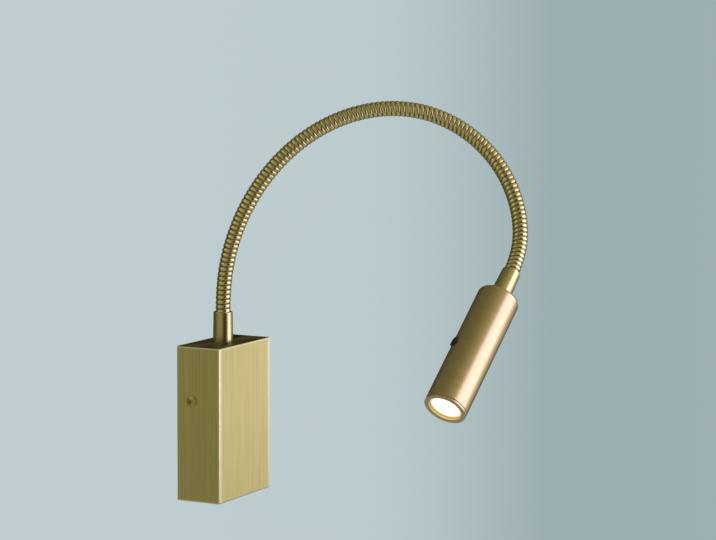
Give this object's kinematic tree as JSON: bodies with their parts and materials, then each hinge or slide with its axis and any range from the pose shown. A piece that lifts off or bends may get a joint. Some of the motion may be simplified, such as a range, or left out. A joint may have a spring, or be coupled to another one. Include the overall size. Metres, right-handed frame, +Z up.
{
  "type": "bedside wall reading lamp",
  "caption": "Bedside wall reading lamp: a slim spot head with a side push switch on a long flexible ribbed neck that rises from a flat rectangular wall box.",
  "frame": {"origin": "middle of the back of the wall bracket, on the wall", "axes": "X to the right along the wall as seen from the room, Y into the wall, Z up"},
  "size_m": [0.1226, 0.2126, 0.2558],
  "materials": {
    "brushed_brass": "brushed brass finish, satin",
    "satin_brass": "satin turned brass",
    "neck_brass": "satin brass tube wound in ribs",
    "zinc_steel": "zinc plated steel",
    "black_plastic": "matt black plastic",
    "white_plastic": "matt white plastic",
    "grey_plastic": "matt grey plastic",
    "board_green": "printed board with solder resist",
    "coil_tape": "wound coil under yellow tape",
    "can_sleeve": "shrunk plastic sleeve",
    "brown_core": "brown wire insulation",
    "blue_core": "blue wire insulation",
    "earth_core": "green and yellow wire insulation",
    "grey_lead": "grey two-core lead jacket",
    "red_core": "red wire insulation",
    "black_core": "black wire insulation",
    "grommet_rubber": "soft black rubber",
    "sink_aluminium": "plain turned aluminium",
    "board_white": "white coated aluminium-cored board",
    "emitter_yellow": "phosphor coated light source",
    "mirror_plastic": "vacuum coated reflector",
    "frosted_lens": "frosted lens"
  },
  "bodies": {
    "wall_box": {"base_cover": "brushed_brass", "wall_bracket": "zinc_steel", "cord_clamp": "white_plastic", "cord_clamp_screws": "zinc_steel", "cover_screws": "brushed_brass", "driver_board": "board_green", "driver_capacitors": "can_sleeve", "driver_case": "white_plastic", "driver_chips": "black_plastic", "driver_lid": "white_plastic", "driver_screws": "zinc_steel", "driver_transformer": "coil_tape", "earth_lead": "earth_core", "earth_screw": "zinc_steel", "ferrule_nut": "zinc_steel", "ferrule_washer": "zinc_steel", "live_lead": "brown_core", "lower_ferrule": "satin_brass", "neck_lead": "grey_lead", "neck_link_01": "neck_brass", "neutral_lead": "blue_core", "supply_grommet": "grommet_rubber", "terminal_block": "white_plastic", "terminal_mount_screw": "zinc_steel", "terminal_screws": "zinc_steel"},
    "neck_link_02": {"neck_link_02": "neck_brass"},
    "neck_link_03": {"neck_link_03": "neck_brass"},
    "neck_link_04": {"neck_link_04": "neck_brass"},
    "neck_link_05": {"neck_link_05": "neck_brass"},
    "neck_link_06": {"neck_link_06": "neck_brass"},
    "neck_link_07": {"neck_link_07": "neck_brass"},
    "neck_link_08": {"neck_link_08": "neck_brass"},
    "neck_link_09": {"neck_link_09": "neck_brass"},
    "neck_link_10": {"neck_link_10": "neck_brass"},
    "neck_link_11": {"neck_link_11": "neck_brass"},
    "neck_link_12": {"neck_link_12": "neck_brass"},
    "neck_link_13": {"neck_link_13": "neck_brass"},
    "neck_link_14": {"neck_link_14": "neck_brass"},
    "neck_link_15": {"neck_link_15": "neck_brass"},
    "neck_link_16": {"neck_link_16": "neck_brass"},
    "neck_link_17": {"neck_link_17": "neck_brass"},
    "neck_link_18": {"neck_link_18": "neck_brass"},
    "neck_link_19": {"neck_link_19": "neck_brass"},
    "lamp_head": {"neck_link_20": "neck_brass", "upper_ferrule": "satin_brass", "head_nut": "zinc_steel", "head_barrel": "satin_brass", "switch_holder": "grey_plastic", "switch_body": "grey_plastic", "heat_sink": "sink_aluminium", "led_board": "board_white", "led_board_screws": "zinc_steel", "led_emitter": "emitter_yellow", "reflector": "mirror_plastic", "lens": "frosted_lens", "bezel_ring": "satin_brass", "feed_core": "red_core", "switched_core": "red_core", "return_core": "black_core"},
    "switch_button": {"switch_button": "black_plastic"}
  },
  "joints": [
    {"name": "lower_curl", "type": "hinge", "parent": "wall_box", "child": "neck_link_02", "pos_m": [0, -0.0145, 0.0752], "axis": [0.9085, 0.4179, 0], "range_deg": [-5.5, 1.5], "deforming": ["neck_lead"]},
    {"name": "lower_sway", "type": "hinge", "parent": "neck_link_02", "child": "neck_link_03", "pos_m": [0.00055, -0.01569, 0.09393], "axis": [-0.4343, 0.89, 0.1389], "range_deg": [-12, 12], "deforming": ["neck_lead"]},
    {"name": "lower_curl_2", "type": "hinge", "parent": "neck_link_03", "child": "neck_link_04", "pos_m": [0.00223, -0.0192, 0.1123], "axis": [0.8839, 0.4677, 0.0086], "range_deg": [-8.21, 2.25]},
    {"name": "lower_curl_3", "type": "hinge", "parent": "neck_link_04", "child": "neck_link_05", "pos_m": [0.00508, -0.02492, 0.12996], "axis": [0.8711, 0.4907, 0.0181], "range_deg": [-8.32, 2.28]},
    {"name": "lower_sway_2", "type": "hinge", "parent": "neck_link_05", "child": "neck_link_06", "pos_m": [0.00912, -0.03271, 0.14656], "axis": [-0.4107, 0.7429, 0.5286], "range_deg": [-12.02, 12.02]},
    {"name": "lower_curl_4", "type": "hinge", "parent": "neck_link_06", "child": "neck_link_07", "pos_m": [0.01426, -0.04247, 0.16176], "axis": [0.8934, 0.449, -0.0134], "range_deg": [-8.61, 2.36]},
    {"name": "lower_curl_5", "type": "hinge", "parent": "neck_link_07", "child": "neck_link_08", "pos_m": [0.02031, -0.05412, 0.17517], "axis": [0.9043, 0.4252, -0.039], "range_deg": [-9.78, 2.68]},
    {"name": "lower_sway_3", "type": "hinge", "parent": "neck_link_08", "child": "neck_link_09", "pos_m": [0.02713, -0.06758, 0.18634], "axis": [-0.1639, 0.4999, 0.8505], "range_deg": [-12.02, 12.02]},
    {"name": "lower_curl_6", "type": "hinge", "parent": "neck_link_09", "child": "neck_link_10", "pos_m": [0.03448, -0.08269, 0.1947], "axis": [0.9142, 0.3952, -0.0895], "range_deg": [-10.97, 3.01]},
    {"name": "upper_curl", "type": "hinge", "parent": "neck_link_10", "child": "neck_link_11", "pos_m": [0.04206, -0.09909, 0.19975], "axis": [0.9146, 0.3864, -0.1187], "range_deg": [-15, 3], "deforming": ["neck_lead"]},
    {"name": "upper_sway", "type": "hinge", "parent": "neck_link_11", "child": "neck_link_12", "pos_m": [0.04949, -0.11626, 0.20108], "axis": [0.1508, 0.0166, 0.9884], "range_deg": [-10, 10], "deforming": ["neck_lead"]},
    {"name": "upper_curl_2", "type": "hinge", "parent": "neck_link_12", "child": "neck_link_13", "pos_m": [0.0563, -0.13357, 0.19815], "axis": [0.8994, 0.3878, -0.2019], "range_deg": [-16.74, 3.36]},
    {"name": "upper_curl_3", "type": "hinge", "parent": "neck_link_13", "child": "neck_link_14", "pos_m": [0.06178, -0.15002, 0.19101], "axis": [0.8559, 0.4179, -0.3045], "range_deg": [-16.29, 3.27]},
    {"name": "upper_sway_2", "type": "hinge", "parent": "neck_link_14", "child": "neck_link_15", "pos_m": [0.06531, -0.16502, 0.18033], "axis": [0.5972, -0.4677, 0.6516], "range_deg": [-10.02, 10.02]},
    {"name": "upper_curl_4", "type": "hinge", "parent": "neck_link_15", "child": "neck_link_16", "pos_m": [0.06625, -0.178, 0.16683], "axis": [0.7272, 0.5194, -0.4488], "range_deg": [-16.59, 3.33]},
    {"name": "upper_curl_5", "type": "hinge", "parent": "neck_link_16", "child": "neck_link_17", "pos_m": [0.06417, -0.18843, 0.15139], "axis": [0.6627, 0.5762, -0.4784], "range_deg": [-16.25, 3.27]},
    {"name": "upper_sway_3", "type": "hinge", "parent": "neck_link_17", "child": "neck_link_18", "pos_m": [0.05903, -0.19608, 0.13506], "axis": [0.7172, -0.6959, -0.0357], "range_deg": [-10.02, 10.02]},
    {"name": "upper_curl_6", "type": "hinge", "parent": "neck_link_18", "child": "neck_link_19", "pos_m": [0.05067, -0.20065, 0.11882], "axis": [0.54, 0.6955, -0.474], "range_deg": [-19.25, 3.87]},
    {"name": "upper_curl_7", "type": "hinge", "parent": "neck_link_19", "child": "lamp_head", "pos_m": [0.03884, -0.20141, 0.10424], "axis": [0.5159, 0.7253, -0.4559], "range_deg": [-7.95, 1.61]},
    {"name": "switch_press", "type": "slide", "parent": "lamp_head", "child": "switch_button", "axis": [0.4781, -0.6693, -0.5688], "range_m": [0, 0.0008], "stiffness_N_per_m": 800, "springref_m": -0.001}
  ],
  "couplings": [
    {"joint": "lower_curl_2", "follows": "lower_curl", "ratio": 1.4899},
    {"joint": "lower_curl_3", "follows": "lower_curl", "ratio": 1.5083},
    {"joint": "lower_sway_2", "follows": "lower_sway", "ratio": 1},
    {"joint": "lower_curl_4", "follows": "lower_curl", "ratio": 1.5621},
    {"joint": "lower_curl_5", "follows": "lower_curl", "ratio": 1.7738},
    {"joint": "lower_sway_3", "follows": "lower_sway", "ratio": 1},
    {"joint": "lower_curl_6", "follows": "lower_curl", "ratio": 1.9918},
    {"joint": "upper_curl_2", "follows": "upper_curl", "ratio": 1.1147},
    {"joint": "upper_curl_3", "follows": "upper_curl", "ratio": 1.0848},
    {"joint": "upper_sway_2", "follows": "upper_sway", "ratio": 1},
    {"joint": "upper_curl_4", "follows": "upper_curl", "ratio": 1.1046},
    {"joint": "upper_curl_5", "follows": "upper_curl", "ratio": 1.0822},
    {"joint": "upper_sway_3", "follows": "upper_sway", "ratio": 1},
    {"joint": "upper_curl_6", "follows": "upper_curl", "ratio": 1.2816},
    {"joint": "upper_curl_7", "follows": "upper_curl", "ratio": 0.52886}
  ]
}
